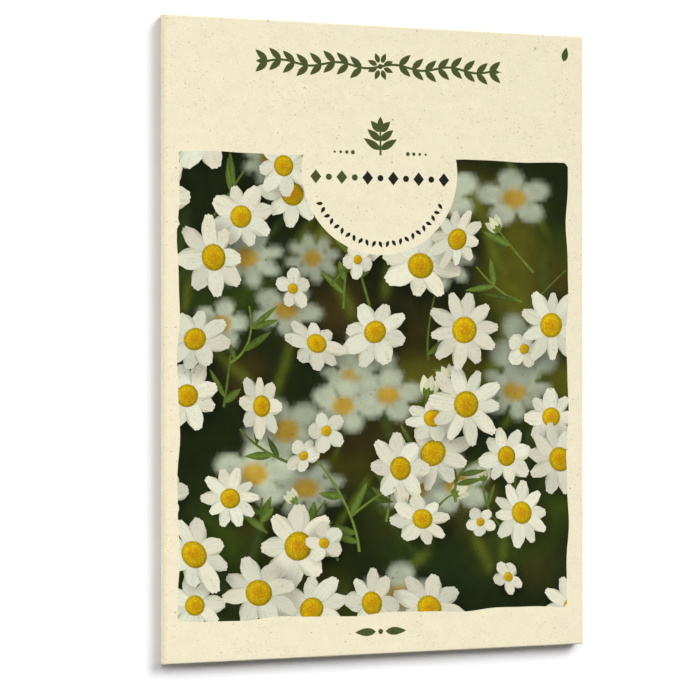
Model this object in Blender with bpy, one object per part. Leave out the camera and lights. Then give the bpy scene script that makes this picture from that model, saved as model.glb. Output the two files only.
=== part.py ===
"""A paper seed packet that lies on its back, with a closing flap and a sachet of seed inside.

The packet is one folded sheet of stiff paper. Each panel between two creases is a thin plate of its own.
+X is the width, +Y runs from the packet's foot to its top, and +Z points out of the printed front.
The origin is the middle of the rectangle that the packet covers on the table.
"""

import math

import bmesh
import bpy

MM = 0.001

# Driving dimensions, in millimetres
WIDTH = 105.0
HEIGHT = 148.0
THICKNESS = 3.5
PAPER = 0.25
# Clear gap between two neighbouring pieces
CLEARANCE = 0.03
GLUE = 0.05
# The two back panels lap over each other by this much, about the middle
LAP = 14.0
SEAM_GLUE_WIDTH = 9.0
SEAM_GLUE_END = 6.0
BOTTOM_FLAP_DEPTH = 20.0
TOP_FLAP_DEPTH = 32.0
# A flap is this much narrower than the packet at each side, at its crease and at its tip
FLAP_SIDE_AT_CREASE = 1.5
FLAP_SIDE_AT_TIP = 6.0
FLAP_CORNER_RADIUS = 5.0
BOTTOM_GLUE_WIDTH = 80.0
BOTTOM_GLUE_DEPTH = 10.0
ADHESIVE_WIDTH = 78.0
ADHESIVE_DEPTH = 10.0
# The glue strips lie this far in from the flap's tip
STRIP_FROM_TIP = 4.0
SACHET_WIDTH = 62.0
SACHET_HEIGHT = 92.0
SACHET_CENTRE_Y = -14.0
SACHET_FILM = 0.08
SACHET_SEAL = 7.0
SACHET_RISE = 1.75
# How square the sachet's swell is across its width and along its height
SWELL_ACROSS = 2.6
SWELL_ALONG = 3.2
# The swell's share at the middle, and how much it leans towards the foot
SWELL_LEVEL = 0.86
SWELL_LEAN = 0.14
SEED_WIDTH = 44.0
SEED_HEIGHT = 56.0
SEED_CENTRE_Y = -22.0
SEED_RISE = 1.2
# The heap's upright rim, and how square its section is above that rim
SEED_RIM = 0.15
HEAP_SQUARENESS = 2.4

# Worked out from the driving dimensions
HALF_WIDTH = WIDTH / 2
HALF_HEIGHT = HEIGHT / 2
HALF_PAPER = PAPER / 2
# A panel's straight edge stays this far from the axis of the crease that it meets
EDGE_TO_CREASE = HALF_PAPER + CLEARANCE
CREASE_X = HALF_WIDTH - HALF_PAPER
CREASE_Y = HALF_HEIGHT - HALF_PAPER
PANEL_HALF_WIDTH = CREASE_X - EDGE_TO_CREASE
PANEL_HALF_HEIGHT = CREASE_Y - EDGE_TO_CREASE

# Heights of the middle of each layer of paper above the table
FRONT_Z = THICKNESS - HALF_PAPER
FLAP_Z = HALF_PAPER
LAYER_STEP = PAPER + GLUE + 2 * CLEARANCE
OUTER_BACK_Z = FLAP_Z + LAYER_STEP
INNER_BACK_Z = OUTER_BACK_Z + LAYER_STEP

NOSE_STEPS = 6
CORNER_STEPS = 6
FILM_COLUMNS = 14
FILM_ROWS = 20
HEAP_RINGS = 7
HEAP_SECTORS = 28
# Edges sharper than this many degrees are shaded hard
SHARP_EDGE = 40
AXIS_DISPLAY = 10.0

PRINT_PAPER = ("printed_paper", (0.86, 0.82, 0.64, 1.0), 0.85)
PLAIN_PAPER = ("plain_paper", (0.88, 0.84, 0.68, 1.0), 0.88)
DRIED_GLUE = ("dried_glue", (0.85, 0.80, 0.62, 1.0), 0.35)
ADHESIVE_TAPE = ("adhesive_tape", (0.90, 0.90, 0.86, 1.0), 0.30)
SACHET_PAPER = ("sachet_paper", (0.90, 0.89, 0.82, 1.0), 0.45)
SEED_HUSK = ("seed_husk", (0.42, 0.32, 0.16, 1.0), 0.70)


def clear_scene():
    for old in list(bpy.data.objects):
        bpy.data.objects.remove(old, do_unlink=True)


def make_material(node_name, finish):
    """One Principled material for one piece."""
    kind, colour, roughness = finish
    material = bpy.data.materials.new(f"{node_name}_{kind}")
    material.use_nodes = True
    shader = material.node_tree.nodes["Principled BSDF"]
    shader.inputs["Base Color"].default_value = colour
    shader.inputs["Roughness"].default_value = roughness
    shader.inputs["Metallic"].default_value = 0.0
    material.diffuse_color = colour
    return material


def make_object(name, shape, finish, parent=None, axis_point=(0.0, 0.0, 0.0)):
    """Turn a bmesh in packet millimetres into a named object whose origin is axis_point."""
    bmesh.ops.recalc_face_normals(shape, faces=shape.faces)
    for vertex in shape.verts:
        vertex.co = [(value - start) * MM for value, start in zip(vertex.co, axis_point)]
    mesh = bpy.data.meshes.new(name)
    shape.to_mesh(mesh)
    shape.free()
    mesh.shade_smooth()
    mesh.set_sharp_from_angle(angle=math.radians(SHARP_EDGE))
    mesh.materials.append(make_material(name, finish))
    piece = bpy.data.objects.new(name, mesh)
    bpy.context.collection.objects.link(piece)
    if parent is None:
        piece.location = [value * MM for value in axis_point]
    else:
        piece.parent = parent
    return piece


def make_axis(name, axis_point, parent=None):
    """An empty on a crease's axis. What turns on that crease is parented to it."""
    axis = bpy.data.objects.new(name, None)
    axis.empty_display_size = AXIS_DISPLAY * MM
    bpy.context.collection.objects.link(axis)
    axis.parent = parent
    start = [0.0, 0.0, 0.0] if parent is None else [value / MM for value in parent.matrix_world.translation]
    axis.location = [(value - origin) * MM for value, origin in zip(axis_point, start)]
    bpy.context.view_layer.update()
    return axis


def arc(centre, radius, first_degrees, last_degrees, steps):
    """Points along an arc, both ends included."""
    points = []
    for step in range(steps + 1):
        angle = math.radians(first_degrees + (last_degrees - first_degrees) * step / steps)
        points.append((centre[0] + radius * math.cos(angle), centre[1] + radius * math.sin(angle)))
    return points


def extrude_outline(outline, place, low, high):
    """A prism of a closed 2-D outline. place(u, v, w) gives the corner's X, Y and Z."""
    shape = bmesh.new()
    corners = [shape.verts.new(place(u, v, low)) for u, v in outline]
    base = shape.faces.new(corners)
    grown = bmesh.ops.extrude_face_region(shape, geom=[base])
    start = place(0.0, 0.0, low)
    end = place(0.0, 0.0, high)
    move = [finish - begin for begin, finish in zip(start, end)]
    moved = [item for item in grown["geom"] if isinstance(item, bmesh.types.BMVert)]
    bmesh.ops.translate(shape, verts=moved, vec=move)
    return shape


def flat_panel(name, outline, middle_z, finish, thickness=PAPER, parent=None, axis_point=(0.0, 0.0, 0.0)):
    """A sheet that lies flat, from an outline in X and Y."""
    low = middle_z - thickness / 2
    shape = extrude_outline(outline, lambda u, v, w: (u, v, w), low, low + thickness)
    return make_object(name, shape, finish, parent, axis_point)


def rectangle(left, right, foot, top):
    return [(left, foot), (right, foot), (right, top), (left, top)]


def wall_outline(across, low_crease, high_crease):
    """Section of a wall that stands between two creases, rounded about both of their axes."""
    high_nose = arc((across, high_crease), HALF_PAPER, 0, 180, NOSE_STEPS)
    low_nose = arc((across, low_crease), HALF_PAPER, 180, 360, NOSE_STEPS)
    return high_nose + low_nose


def side_wall(name, side, low_crease):
    """The folded side at X = side times CREASE_X. It ends short of the top and bottom walls."""
    outline = wall_outline(side * CREASE_X, low_crease, FRONT_Z)
    reach = HALF_HEIGHT - PAPER - CLEARANCE
    shape = extrude_outline(outline, lambda u, v, w: (u, w, v), -reach, reach)
    return make_object(name, shape, PLAIN_PAPER)


def end_wall(name, end, parent=None, axis_point=(0.0, 0.0, 0.0)):
    """The folded foot or top of the packet at Y = end times CREASE_Y, over the packet's whole width."""
    outline = wall_outline(end * CREASE_Y, FLAP_Z, FRONT_Z)
    shape = extrude_outline(outline, lambda u, v, w: (w, u, v), -HALF_WIDTH, HALF_WIDTH)
    return make_object(name, shape, PLAIN_PAPER, parent, axis_point)


def flap_outline(end, depth):
    """A flap that starts at a crease, narrows towards its tip and has rounded tip corners."""
    root = end * PANEL_HALF_HEIGHT
    tip = end * (HALF_HEIGHT - depth)
    half_root = HALF_WIDTH - FLAP_SIDE_AT_CREASE
    half_tip = HALF_WIDTH - FLAP_SIDE_AT_TIP
    radius = FLAP_CORNER_RADIUS
    lean = math.atan2(half_root - half_tip, abs(root - tip))
    # The corner's circle touches the tip's straight edge and the slanted side
    centre_y = radius
    centre_x = half_tip - radius * (1 - math.sin(lean)) / math.cos(lean)
    right_corner = arc((centre_x, centre_y), radius, -90, math.degrees(lean) * -1, CORNER_STEPS)
    right = [(half_root, abs(root - tip))]
    side = right_corner + right
    mirrored = [(-x, y) for x, y in reversed(side)]
    return [(x, tip + end * y) for x, y in side + mirrored]


def sachet_bulge(u, v):
    """Height of the sachet's front above its flat rim, from 0 to 1, for u and v from -1 to 1."""
    across = max(0.0, 1 - abs(u) ** SWELL_ACROSS)
    along = max(0.0, 1 - abs(v) ** SWELL_ALONG)
    swell = math.sin(math.pi / 2 * across) * math.sin(math.pi / 2 * along)
    # Seed gathers towards the foot
    return swell * (SWELL_LEVEL - SWELL_LEAN * v)


def sachet_front(floor_z):
    """The sachet's front film: a flat seal all round and a shallow swell inside it."""
    inner_half_width = SACHET_WIDTH / 2 - SACHET_SEAL
    inner_half_height = SACHET_HEIGHT / 2 - SACHET_SEAL
    shape = bmesh.new()
    under = []
    over = []
    xs = [inner_half_width * (2 * i / FILM_COLUMNS - 1) for i in range(FILM_COLUMNS + 1)]
    xs = [-SACHET_WIDTH / 2] + xs + [SACHET_WIDTH / 2]
    ys = [inner_half_height * (2 * j / FILM_ROWS - 1) for j in range(FILM_ROWS + 1)]
    ys = [-SACHET_HEIGHT / 2] + ys + [SACHET_HEIGHT / 2]
    for y in ys:
        under_row = []
        over_row = []
        for x in xs:
            u = max(-1.0, min(1.0, x / inner_half_width))
            v = max(-1.0, min(1.0, y / inner_half_height))
            z = floor_z + SACHET_RISE * sachet_bulge(u, v)
            under_row.append(shape.verts.new((x, SACHET_CENTRE_Y + y, z)))
            over_row.append(shape.verts.new((x, SACHET_CENTRE_Y + y, z + SACHET_FILM)))
        under.append(under_row)
        over.append(over_row)
    last_row = len(ys) - 1
    last_column = len(xs) - 1
    for j in range(last_row):
        for i in range(last_column):
            shape.faces.new((under[j][i], under[j + 1][i], under[j + 1][i + 1], under[j][i + 1]))
            shape.faces.new((over[j][i], over[j][i + 1], over[j + 1][i + 1], over[j + 1][i]))
    for i in range(last_column):
        shape.faces.new((under[0][i], under[0][i + 1], over[0][i + 1], over[0][i]))
        shape.faces.new((under[last_row][i + 1], under[last_row][i],
                         over[last_row][i], over[last_row][i + 1]))
    for j in range(last_row):
        shape.faces.new((under[j + 1][0], under[j][0], over[j][0], over[j + 1][0]))
        shape.faces.new((under[j][last_column], under[j + 1][last_column],
                         over[j + 1][last_column], over[j][last_column]))
    return make_object("sachet_front_film", shape, SACHET_PAPER)


def seed_heap(floor_z):
    """The seed as one low heap with a flat underside, inside the sachet."""
    shape = bmesh.new()
    circles = []
    for ring in range(1, HEAP_RINGS + 1):
        reach = ring / HEAP_RINGS
        height = SEED_RIM + SEED_RISE * (1 - reach ** HEAP_SQUARENESS)
        circle = []
        for sector in range(HEAP_SECTORS):
            angle = 2 * math.pi * sector / HEAP_SECTORS
            x = SEED_WIDTH / 2 * reach * math.cos(angle)
            y = SEED_CENTRE_Y + SEED_HEIGHT / 2 * reach * math.sin(angle)
            circle.append(shape.verts.new((x, y, floor_z + height)))
        circles.append(circle)
    crown = shape.verts.new((0.0, SEED_CENTRE_Y, floor_z + SEED_RIM + SEED_RISE))
    foot = [shape.verts.new((vertex.co.x, vertex.co.y, floor_z)) for vertex in circles[-1]]
    for sector in range(HEAP_SECTORS):
        following = (sector + 1) % HEAP_SECTORS
        shape.faces.new((crown, circles[0][sector], circles[0][following]))
        for inner, outer in zip(circles, circles[1:]):
            shape.faces.new((inner[sector], outer[sector], outer[following], inner[following]))
        shape.faces.new((circles[-1][sector], foot[sector], foot[following], circles[-1][following]))
    shape.faces.new(list(reversed(foot)))
    return make_object("seeds", shape, SEED_HUSK)


def build_folded_sheet():
    """The front, the walls that stand still and the lapped back."""
    front = rectangle(-PANEL_HALF_WIDTH, PANEL_HALF_WIDTH, -PANEL_HALF_HEIGHT, PANEL_HALF_HEIGHT)
    flat_panel("front_panel", front, FRONT_Z, PRINT_PAPER)
    side_wall("left_side_wall", -1, INNER_BACK_Z)
    side_wall("right_side_wall", 1, OUTER_BACK_Z)
    end_wall("bottom_wall", -1)
    inner = rectangle(-PANEL_HALF_WIDTH, LAP / 2, -PANEL_HALF_HEIGHT, PANEL_HALF_HEIGHT)
    flat_panel("back_panel_inner", inner, INNER_BACK_Z, PLAIN_PAPER)
    outer = rectangle(-LAP / 2, PANEL_HALF_WIDTH, -PANEL_HALF_HEIGHT, PANEL_HALF_HEIGHT)
    flat_panel("back_panel_outer", outer, OUTER_BACK_Z, PLAIN_PAPER)
    seam_reach = PANEL_HALF_HEIGHT - SEAM_GLUE_END
    seam = rectangle(-SEAM_GLUE_WIDTH / 2, SEAM_GLUE_WIDTH / 2, -seam_reach, seam_reach)
    flat_panel("back_seam_glue", seam, (OUTER_BACK_Z + INNER_BACK_Z) / 2, DRIED_GLUE, GLUE)


def build_bottom_flap():
    """The foot's flap, glued onto the back."""
    flat_panel("bottom_flap", flap_outline(-1, BOTTOM_FLAP_DEPTH), FLAP_Z, PLAIN_PAPER)
    strip_top = -HALF_HEIGHT + BOTTOM_FLAP_DEPTH - STRIP_FROM_TIP
    strip = rectangle(-BOTTOM_GLUE_WIDTH / 2, BOTTOM_GLUE_WIDTH / 2, strip_top - BOTTOM_GLUE_DEPTH, strip_top)
    flat_panel("bottom_flap_glue", strip, (FLAP_Z + OUTER_BACK_Z) / 2, DRIED_GLUE, GLUE)


def build_closure():
    """The top wall turns on the front panel's top crease, and the flap on the wall's other crease."""
    top_crease = (0.0, CREASE_Y, FRONT_Z)
    flap_crease = (0.0, CREASE_Y, FLAP_Z)
    wall_axis = make_axis("top_crease_axis", top_crease)
    flap_axis = make_axis("flap_crease_axis", flap_crease, wall_axis)
    end_wall("top_wall", 1, wall_axis, top_crease)
    flat_panel("top_flap", flap_outline(1, TOP_FLAP_DEPTH), FLAP_Z, PLAIN_PAPER,
               parent=flap_axis, axis_point=flap_crease)
    strip_foot = HALF_HEIGHT - TOP_FLAP_DEPTH + STRIP_FROM_TIP
    strip = rectangle(-ADHESIVE_WIDTH / 2, ADHESIVE_WIDTH / 2, strip_foot, strip_foot + ADHESIVE_DEPTH)
    flat_panel("flap_adhesive_strip", strip, (FLAP_Z + OUTER_BACK_Z) / 2, ADHESIVE_TAPE, GLUE,
               flap_axis, flap_crease)


def build_sachet():
    """The sachet lies on the back panels, and the seed lies in it."""
    back_z = INNER_BACK_Z + HALF_PAPER + CLEARANCE + SACHET_FILM / 2
    half_width = SACHET_WIDTH / 2
    half_height = SACHET_HEIGHT / 2
    back = rectangle(-half_width, half_width, SACHET_CENTRE_Y - half_height, SACHET_CENTRE_Y + half_height)
    flat_panel("sachet_back_film", back, back_z, SACHET_PAPER, SACHET_FILM)
    inside_z = back_z + SACHET_FILM / 2 + CLEARANCE
    sachet_front(inside_z)
    seed_heap(inside_z)


def main():
    clear_scene()
    build_folded_sheet()
    build_bottom_flap()
    build_closure()
    build_sachet()


main()
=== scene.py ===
import math
import random

import bmesh
import bpy
import numpy as np
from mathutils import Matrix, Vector, noise
from mathutils.geometry import delaunay_2d_cdt


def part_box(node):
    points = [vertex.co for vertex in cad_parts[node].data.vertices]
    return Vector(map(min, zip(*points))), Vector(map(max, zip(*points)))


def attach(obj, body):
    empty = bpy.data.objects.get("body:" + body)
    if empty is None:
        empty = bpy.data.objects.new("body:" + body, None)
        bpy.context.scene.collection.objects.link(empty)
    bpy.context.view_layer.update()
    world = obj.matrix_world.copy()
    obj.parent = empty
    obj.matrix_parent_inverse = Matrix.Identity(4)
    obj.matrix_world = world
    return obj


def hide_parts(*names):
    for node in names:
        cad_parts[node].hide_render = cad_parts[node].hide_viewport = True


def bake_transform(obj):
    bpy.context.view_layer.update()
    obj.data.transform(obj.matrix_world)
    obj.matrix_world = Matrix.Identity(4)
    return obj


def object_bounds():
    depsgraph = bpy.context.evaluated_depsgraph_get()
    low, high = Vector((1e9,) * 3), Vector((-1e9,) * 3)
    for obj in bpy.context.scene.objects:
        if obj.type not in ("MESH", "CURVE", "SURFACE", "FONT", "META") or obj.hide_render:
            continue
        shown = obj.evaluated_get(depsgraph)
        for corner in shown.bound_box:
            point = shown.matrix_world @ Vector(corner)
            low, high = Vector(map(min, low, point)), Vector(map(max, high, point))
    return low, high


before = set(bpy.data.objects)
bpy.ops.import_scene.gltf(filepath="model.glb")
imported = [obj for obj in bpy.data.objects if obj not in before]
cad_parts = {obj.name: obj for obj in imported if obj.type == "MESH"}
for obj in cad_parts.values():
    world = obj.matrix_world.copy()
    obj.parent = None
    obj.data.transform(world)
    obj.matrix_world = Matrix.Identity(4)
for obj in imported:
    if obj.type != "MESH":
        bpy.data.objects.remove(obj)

cad_low, cad_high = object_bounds()

# Lengths are millimetres on the frame's axes, except where a comment says metres
MM = 0.001


def span(node):
    """A CAD node's lowest and highest corners in millimetres."""
    low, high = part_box(node)
    return Vector(low) / MM, Vector(high) / MM


HALF_WIDTH = cad_high.x / MM
HALF_HEIGHT = cad_high.y / MM
THICKNESS = cad_high.z / MM
PAPER = span("front_panel")[1].z - span("front_panel")[0].z
INNER_BACK = span("back_panel_inner")[0].z
OUTER_BACK = span("back_panel_outer")[0].z
LAP = span("back_panel_inner")[1].x
TOP_FLAP_TIP = HALF_HEIGHT - span("top_flap")[0].y
BOTTOM_FLAP_TIP = HALF_HEIGHT + span("bottom_flap")[1].y
FLAP_HALF_ROOT = span("top_flap")[1].x
FLAP_TAPER = 6.0
FLAP_HALF_TIP = HALF_WIDTH - FLAP_TAPER
FLAP_CORNER = 5.0
# The outer radius of every fold
CREASE = 0.34
FACE_HALF_WIDTH = HALF_WIDTH - CREASE
FACE_HALF_HEIGHT = HALF_HEIGHT - CREASE

# The print's places on the front, from its middle
NOTCH_CENTRE = Vector((0.0, 39.4))
NOTCH_RADIUS = 19.5
PICTURE_LEFT, PICTURE_RIGHT = -49.0, 48.3
PICTURE_FOOT, PICTURE_TOP = -64.5, 42.95

# How far apart the sheet's mesh points are in different places
PICTURE_PITCH = 1.05
BARE_PITCH = 6.0
EDGE_PITCH = 3.0
WALL_PITCH = 0.6
BACK_PITCH = 5.0

SEED_COUNT = 2200

# The camera solved from the photograph, with its turn about each axis in degrees
CAMERA_PLACE = (-169.8, -3.96, 468.1)
CAMERA_TURN = (0.186, -19.242, -0.036)
CAMERA_LENS = 108.04
SENSOR = 36.0


def linear(red, green, blue):
    """A colour from 0 to 255 as a screen shows it, in linear light."""
    values = [channel / 255 for channel in (red, green, blue)]
    return np.array([v / 12.92 if v <= 0.04045 else ((v + 0.055) / 1.055) ** 2.4 for v in values])


def smooth(edge_low, edge_high, value):
    """0 below the first edge, 1 above the second, and an even curve between them."""
    t = np.clip((value - edge_low) / (edge_high - edge_low), 0, 1)
    return t * t * (3 - 2 * t)


PAPER_COLOUR = linear(223, 215, 186)
# The tint of the walls and folds, darker and yellower than the paper: partly wear, partly painted shade
WEAR_AND_SHADE_COLOUR = linear(218, 208, 164)
INK_GREEN = linear(68, 77, 41)
INK_DARK = linear(30, 32, 22)
PETAL_COOL = linear(222, 223, 200)
PETAL_WARM = linear(227, 222, 197)
HEART_YELLOW = linear(220, 184, 14)

# The paper's lightness, and how much its fine grain and its broader mottling change it
LIGHTNESS = 0.767
GRAIN_DEPTH = 0.30
MOTTLE_DEPTH = 0.15

# Flecks in the pulp: spacing in millimetres, share of places that hold one, size against the spacing,
# strength, and the tint that the paper's colour is multiplied by
FLECKS = (
    (0.50, 0.50, 0.26, 0.80, (0.70, 0.62, 0.51)),
    (1.05, 0.30, 0.16, 0.90, (0.50, 0.41, 0.31)),
    (3.10, 0.20, 0.09, 0.95, (0.30, 0.23, 0.15)),
)
# How far, in metres along each axis, a fleck's outline strays from round
FLECK_STRAY = (0.0009, 0.0005, 0.0009)

# How much the tint of wear and painted shade lies along the front's long edges, all over a wall, and at a
# fold
EDGE_WEAR_AND_SHADE = 0.4
WALL_WEAR_AND_SHADE = 0.55
FOLD_WEAR_AND_SHADE = 0.7


# Paper and print materials

class Nodes:
    """Short calls for one material's nodes. at is a place in metres, on the sheet or in the object."""

    def __init__(self, name, on_sheet=True):
        self.material = bpy.data.materials.new(name)
        self.material.use_nodes = True
        self.tree = self.material.node_tree
        self.shader = self.tree.nodes["Principled BSDF"]
        if on_sheet:
            self.at = self.attribute("paper_at")
        else:
            self.at = self.add("ShaderNodeTexCoord").outputs["Object"]

    def add(self, kind, inputs=None, **settings):
        node = self.tree.nodes.new(kind)
        for key, value in settings.items():
            setattr(node, key, value)
        for key, value in (inputs or {}).items():
            self.put(node.inputs[key], value)
        return node

    def put(self, socket, value):
        if isinstance(value, bpy.types.NodeSocket):
            self.tree.links.new(value, socket)
        else:
            socket.default_value = value

    def math(self, operation, first, second=0.0, third=0.0, clamp=False):
        node = self.add("ShaderNodeMath", operation=operation, use_clamp=clamp)
        for socket, value in zip(node.inputs, (first, second, third)):
            self.put(socket, value)
        return node.outputs[0]

    def ramp(self, value, low, high, out_low=0.0, out_high=1.0):
        node = self.add("ShaderNodeMapRange", interpolation_type="SMOOTHSTEP")
        for socket, number in zip(node.inputs, (value, low, high, out_low, out_high)):
            self.put(socket, number)
        return node.outputs[0]

    def mix(self, factor, first, second, blend="MIX"):
        node = self.add("ShaderNodeMix", data_type="RGBA", blend_type=blend)
        self.put(node.inputs[0], factor)
        for socket, colour in zip((node.inputs[6], node.inputs[7]), (first, second)):
            self.put(socket, colour if isinstance(colour, bpy.types.NodeSocket) else (*colour, 1.0))
        return node.outputs[2]

    def shade(self, colour, value):
        """A colour made lighter or darker by a grey value."""
        grey = self.add("ShaderNodeCombineColor", {"Red": value, "Green": value, "Blue": value})
        return self.mix(1.0, colour, grey.outputs[0], "MULTIPLY")

    def finish(self, colour, roughness, bump, metres, height):
        """Connect the shader. The bump's height is a share of metres."""
        relief = self.add("ShaderNodeBump", {"Strength": bump, "Distance": metres, "Height": height})
        self.put(self.shader.inputs["Base Color"], colour)
        self.put(self.shader.inputs["Roughness"], roughness)
        self.put(self.shader.inputs["Normal"], relief.outputs[0])
        return self.material

    def attribute(self, name, output="Vector"):
        return self.add("ShaderNodeAttribute", attribute_name=name).outputs[output]

    def noise(self, millimetres, detail=2.0, roughness=0.5, output="Fac"):
        scale = 1 / (millimetres * MM)
        inputs = {"Vector": self.at, "Scale": scale, "Detail": detail, "Roughness": roughness}
        return self.add("ShaderNodeTexNoise", inputs).outputs[output]

    def split(self, vector):
        return self.add("ShaderNodeSeparateXYZ", {"Vector": vector}).outputs


def flecks(n, colour, millimetres, share, size, strength, tint):
    """Flecks of bark and husk in the pulp, which darken what is there. They gather in drifts."""
    drift = n.noise(9.0, 2.0)
    wander = n.noise(0.26, 2.0, 0.7, output="Color")
    bent = n.add("ShaderNodeVectorMath", {0: wander, 1: FLECK_STRAY}, operation="MULTIPLY")
    moved = n.add("ShaderNodeVectorMath", {0: n.at, 1: bent.outputs[0]}, operation="ADD")
    cells = n.add("ShaderNodeTexVoronoi", {"Vector": moved.outputs[0], "Scale": 1 / (millimetres * MM)})
    red, green, blue = n.split(cells.outputs["Color"])
    chosen = n.math("LESS_THAN", red, n.math("MULTIPLY", n.ramp(drift, 0.36, 0.64, 0.25, 1.75), share))
    reach = n.math("MULTIPLY_ADD", green, size, size * 0.35)
    inside = n.ramp(n.math("DIVIDE", cells.outputs["Distance"], reach), 1.0, 0.55)
    weight = n.math("MULTIPLY", inside, n.math("MULTIPLY_ADD", blue, strength, strength * 0.4))
    return n.mix(n.math("MULTIPLY", weight, chosen, clamp=True), colour, tint, "MULTIPLY")


def finish_paper(n, colour, roughness, bump, gloss):
    """Pulp flecks, mottling and a fine tooth on whatever colour the sheet has there."""
    mottle = n.noise(2.4, 3.0, 0.6)
    grain = n.noise(0.32, 2.0, 0.7)
    broad = n.math("MULTIPLY_ADD", mottle, MOTTLE_DEPTH, LIGHTNESS)
    colour = n.shade(colour, n.math("MULTIPLY_ADD", grain, GRAIN_DEPTH, broad))
    for kind in FLECKS:
        colour = flecks(n, colour, *kind)
    fibre = n.noise(0.11, 3.0, 0.65)
    n.shader.inputs["Specular IOR Level"].default_value = gloss
    return n.finish(colour, n.math("MULTIPLY_ADD", grain, 0.08, roughness), bump, 0.00006,
                    n.math("MULTIPLY_ADD", fibre, 0.5, grain))


def bare_paper(name="bare_paper"):
    """The sheet where nothing is printed, darker and yellower on its walls and folds: wear and painted
    shade.
    """
    n = Nodes(name)
    worn_and_shaded = n.attribute("worn_and_shaded", "Fac")
    ragged = n.math("MULTIPLY", worn_and_shaded, n.ramp(n.noise(0.6, 3.0), 0.25, 0.7, 0.55, 1.0))
    # Walls and folds are mixed towards the darker, yellower tint of wear and painted shade
    colour = n.mix(ragged, PAPER_COLOUR, WEAR_AND_SHADE_COLOUR)
    return finish_paper(n, colour, roughness=0.86, bump=0.12, gloss=0.18)


def printed(name, pattern):
    """Ink on the sheet. pattern turns the ink attribute's colour into the material's own drawing."""
    n = Nodes(name)
    ink = n.attribute("ink", "Color")
    return finish_paper(n, pattern(n, ink), roughness=0.74, bump=0.09, gloss=0.05)


def plain_ink(n, ink):
    """Solid ink, a little thin where the sheet's tooth shows through."""
    thin = n.ramp(n.noise(0.14, 2.0), 0.62, 0.80, 0.0, 0.28)
    return n.mix(thin, ink, PAPER_COLOUR)


def ground_pattern(n, ink):
    """The picture's blurred ground: soft colour from the mesh, under a faint haze."""
    haze = n.noise(3.4, 1.0)
    return n.shade(ink, n.math("MULTIPLY_ADD", haze, 0.5, 0.72))


def petal_pattern(n, ink):
    """Veins that run along the petal, a shaded root and one soft side under the next petal."""
    along, across, own = n.split(n.attribute("motif"))
    vein_at = n.add("ShaderNodeCombineXYZ", {
        "X": n.math("MULTIPLY", across, 3.1),
        "Y": n.math("MULTIPLY", along, 0.9),
        "Z": n.math("MULTIPLY", own, 37.0),
    })
    vein = n.add("ShaderNodeTexNoise", {"Vector": vein_at.outputs[0], "Scale": 2.0, "Detail": 2.0})
    groove = n.ramp(vein.outputs[0], 0.30, 0.62, 0.80, 1.0)
    root = n.ramp(along, 0.0, 0.42, 0.50, 1.0)
    hidden_side = n.ramp(across, -1.05, -0.35, 0.70, 1.0)
    rim = n.ramp(n.math("ABSOLUTE", across), 1.02, 0.70, 0.93, 1.0)
    shade = n.math("MULTIPLY", n.math("MULTIPLY", groove, root), n.math("MULTIPLY", hidden_side, rim))
    cool = n.mix(n.ramp(shade, 0.35, 0.95), linear(142, 158, 126), (1.0, 1.0, 1.0))
    return n.mix(1.0, ink, cool, "MULTIPLY")


def heart_pattern(n, ink):
    """A flower's domed middle: packed florets that darken towards the rim."""
    x, y, own = n.split(n.attribute("motif"))
    place = n.add("ShaderNodeCombineXYZ", {"X": x, "Y": y, "Z": n.math("MULTIPLY", own, 11.0)})
    florets = n.add("ShaderNodeTexVoronoi", {"Vector": place.outputs[0], "Scale": 6.5})
    radius = n.math("SQRT", n.math("ADD", n.math("MULTIPLY", x, x), n.math("MULTIPLY", y, y)))
    lit = n.math("MULTIPLY_ADD", n.math("SUBTRACT", y, x), 0.20, 0.96)
    bead = n.ramp(florets.outputs["Distance"], 0.10, 0.55, 1.12, 0.72)
    edge = n.ramp(radius, 0.60, 1.05, 1.0, 0.55)
    shade = n.math("MULTIPLY", n.math("MULTIPLY", bead, edge), lit)
    warm = n.mix(n.ramp(radius, 0.05, 0.85, 0.55, 0.0), ink, linear(196, 118, 8))
    return n.shade(warm, shade)


def leaf_pattern(n, ink):
    """A blade or stem: lighter along its middle, darker at its sides."""
    across = n.split(n.attribute("motif"))[1]
    body = n.ramp(n.math("ABSOLUTE", across), 1.0, 0.1, 0.62, 1.12)
    patch = n.noise(1.1, 2.0)
    return n.shade(ink, n.math("MULTIPLY", body, n.math("MULTIPLY_ADD", patch, 0.7, 0.65)))


SHEET_MATERIALS = [
    bare_paper(),
    printed("printed_ground", ground_pattern),
    printed("printed_petal", petal_pattern),
    printed("printed_heart", heart_pattern),
    printed("printed_leaf", leaf_pattern),
    printed("printed_ornament", plain_ink),
    bare_paper("sheet_inside"),
]
BARE, GROUND, PETAL, HEART, LEAF, ORNAMENT, INSIDE = range(len(SHEET_MATERIALS))


# The drawing on the front: flat outlines, later ones over earlier ones

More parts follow.
